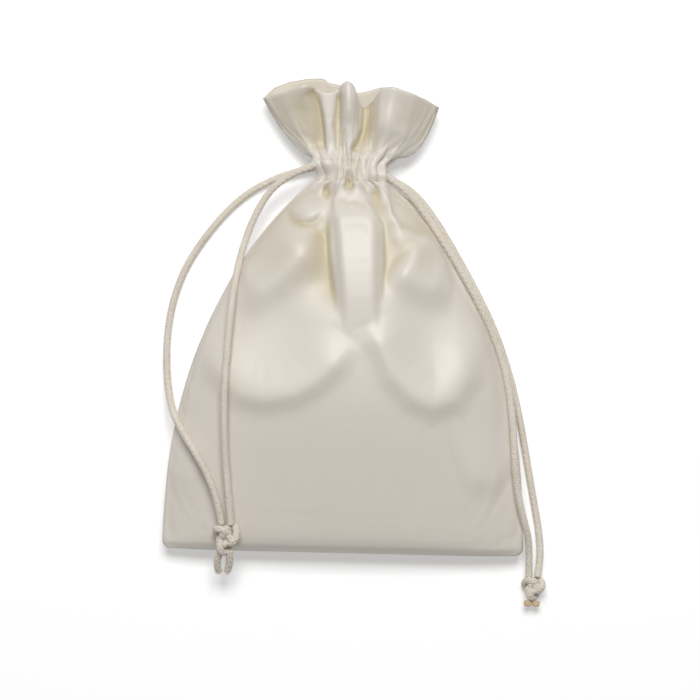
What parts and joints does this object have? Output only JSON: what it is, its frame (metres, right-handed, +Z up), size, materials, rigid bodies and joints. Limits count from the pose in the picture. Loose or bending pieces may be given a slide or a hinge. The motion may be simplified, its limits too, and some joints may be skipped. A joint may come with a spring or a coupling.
{
  "type": "drawstring gift pouch",
  "caption": "Satin drawstring gift pouch lying on its back, gathered below a ruffled rim by two knotted cords that pull from opposite sides.",
  "frame": {"origin": "on the flat of the back that the pouch lies on, halfway from the base edge to the top of the rim", "axes": "+X across the pouch to the right-hand cord, +Y from the base to the rim, +Z up from the surface"},
  "size_m": [0.1397, 0.1882, 0.0323],
  "materials": {
    "satin": "ivory satin, smooth sheen",
    "lining_satin": "ivory satin seen inside the folds",
    "thread": "ivory sewing thread",
    "braided_cord": "ivory braided satin cord",
    "sealed_cord_end": "cord fibre melted hard and amber"
  },
  "bodies": {
    "pouch": {"front_panel": "satin", "back_panel": "satin", "front_casing": "satin", "back_casing": "satin", "front_lining": "lining_satin", "back_lining": "lining_satin", "front_header": "satin", "back_header": "satin", "left_side_seam": "thread", "right_side_seam": "thread", "base_seam": "thread", "lower_stitch_row": "thread", "upper_stitch_row": "thread", "left_cord_bend": "braided_cord", "right_cord_bend": "braided_cord"},
    "left_drawcord": {"left_upper_run": "braided_cord", "left_lower_run": "braided_cord"},
    "left_loop": {"left_outer_strand": "braided_cord", "left_inner_strand": "braided_cord", "left_knot": "braided_cord", "left_cord_tails": "braided_cord"},
    "right_drawcord": {"right_upper_run": "braided_cord", "right_lower_run": "braided_cord"},
    "right_loop": {"right_outer_strand": "braided_cord", "right_inner_strand": "braided_cord", "right_knot": "braided_cord", "right_sealed_ends": "sealed_cord_end"}
  },
  "joints": [
    {"name": "left_cord_pull", "type": "slide", "parent": "pouch", "child": "left_drawcord", "axis": [-1, 0, 0], "range_m": [0, 0.01]},
    {"name": "left_loop_swing", "type": "hinge", "parent": "left_drawcord", "child": "left_loop", "pos_m": [-0.0121, 0.05325, 0.0085], "axis": [0, 0, -1], "range_deg": [0, 30]},
    {"name": "right_cord_pull", "type": "slide", "parent": "pouch", "child": "right_drawcord", "axis": [1, 0, 0], "range_m": [0, 0.01]},
    {"name": "right_loop_swing", "type": "hinge", "parent": "right_drawcord", "child": "right_loop", "pos_m": [0.0121, 0.04975, 0.0085], "axis": [0, 0, 1], "range_deg": [0, 30]}
  ]
}
